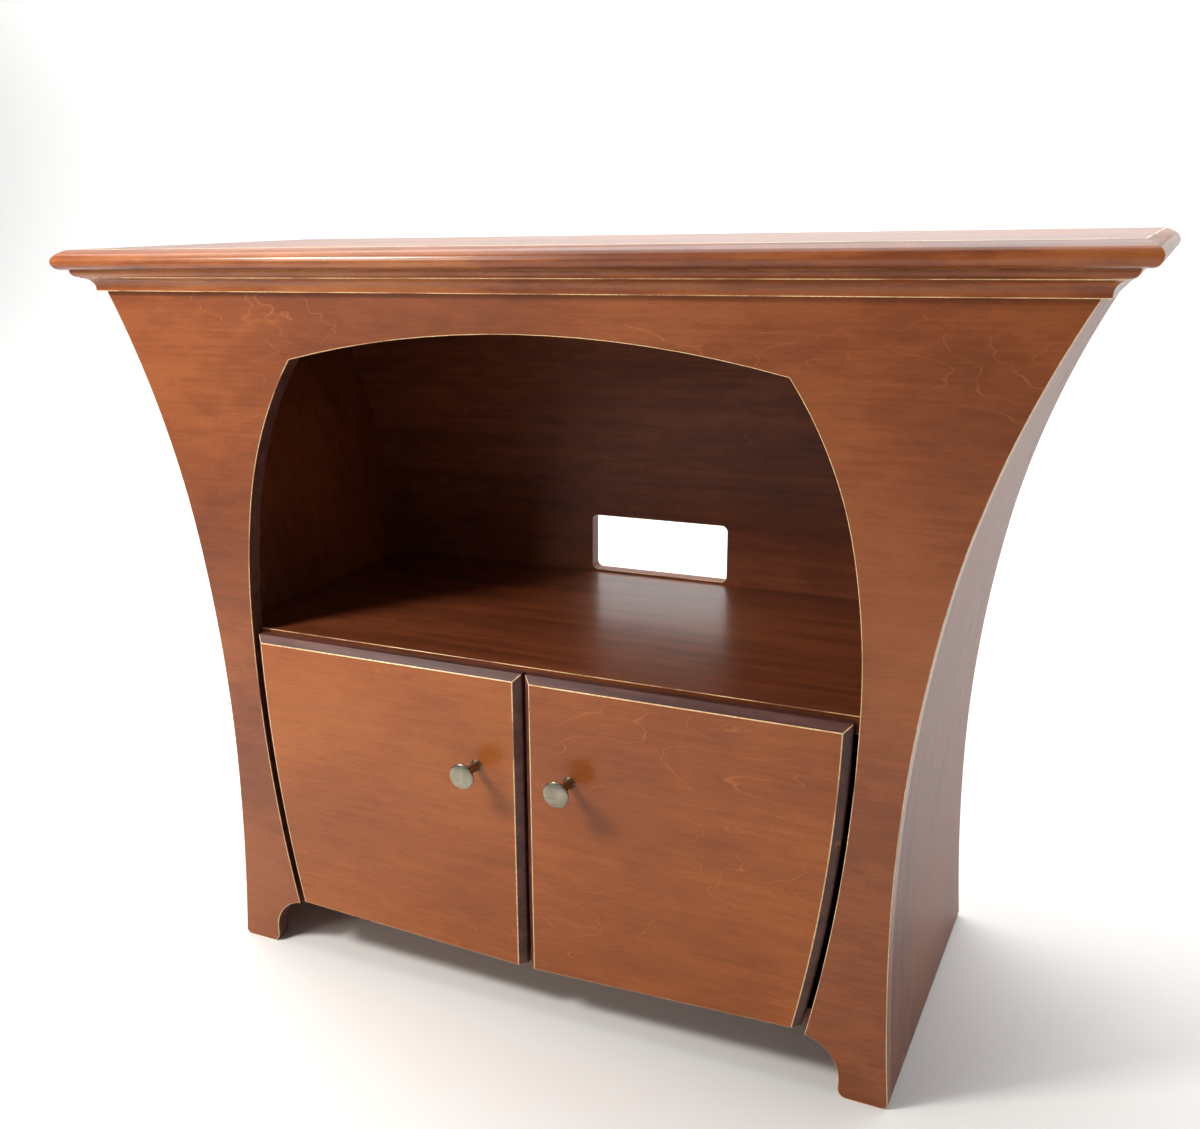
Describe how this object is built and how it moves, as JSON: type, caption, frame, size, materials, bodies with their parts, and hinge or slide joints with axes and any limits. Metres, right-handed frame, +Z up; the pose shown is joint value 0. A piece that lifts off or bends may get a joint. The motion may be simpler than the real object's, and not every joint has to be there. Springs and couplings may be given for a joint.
{
  "type": "media console cabinet",
  "caption": "Flared media cabinet with a moulded top, an arched open bay with a cable slot, and a two-door cupboard on panel feet.",
  "frame": {"origin": "on the floor under the centre of the whole cabinet's bounding box", "axes": "+X to the right of someone facing the front, -Y out of the front, +Z up"},
  "size_m": [1.1636, 0.4766, 0.8675],
  "materials": {
    "stained_wood": "cherry-stained plywood, satin lacquer, edges rubbed through",
    "dark_wood": "cherry-stained plywood, satin lacquer",
    "bare_wood": "unstained, sanded",
    "satin_nickel": "satin nickel plate",
    "steel": "zinc plated",
    "black_plastic": "moulded, matte"
  },
  "bodies": {
    "cabinet": {"top_board": "stained_wood", "cornice_front": "stained_wood", "cornice_left": "stained_wood", "cornice_right": "stained_wood", "front_panel": "stained_wood", "side_left": "stained_wood", "side_right": "stained_wood", "back_panel": "dark_wood", "shelf": "dark_wood", "bottom_board": "dark_wood", "stretcher_front": "bare_wood", "stretcher_back": "bare_wood", "shelf_cleat_left": "bare_wood", "shelf_cleat_right": "bare_wood", "base_cleat_left": "bare_wood", "base_cleat_right": "bare_wood", "hinge_post_left": "bare_wood", "hinge_post_right": "bare_wood", "top_screws": "steel", "hinge_bracket_left_upper": "steel", "hinge_bracket_left_lower": "steel", "hinge_bracket_right_upper": "steel", "hinge_bracket_right_lower": "steel", "bracket_screws": "steel", "catch_left": "black_plastic", "catch_right": "black_plastic", "catch_screws": "steel"},
    "left_door": {"door_left": "stained_wood", "knob_left": "satin_nickel", "knob_screw_left": "steel", "hinge_leaf_left_upper": "steel", "hinge_leaf_left_lower": "steel", "hinge_pin_left_upper": "steel", "hinge_pin_left_lower": "steel", "leaf_screws_left": "steel", "strike_left": "steel", "strike_screw_left": "steel"},
    "right_door": {"door_right": "stained_wood", "knob_right": "satin_nickel", "knob_screw_right": "steel", "hinge_leaf_right_upper": "steel", "hinge_leaf_right_lower": "steel", "hinge_pin_right_upper": "steel", "hinge_pin_right_lower": "steel", "leaf_screws_right": "steel", "strike_right": "steel", "strike_screw_right": "steel"}
  },
  "joints": [
    {"name": "left_door_hinge", "type": "hinge", "parent": "cabinet", "child": "left_door", "pos_m": [-0.3465, -0.19325, 0.34], "axis": [0, 0, -1], "range_deg": [0, 90]},
    {"name": "right_door_hinge", "type": "hinge", "parent": "cabinet", "child": "right_door", "pos_m": [0.3465, -0.19325, 0.34], "axis": [0, 0, 1], "range_deg": [0, 90]}
  ]
}
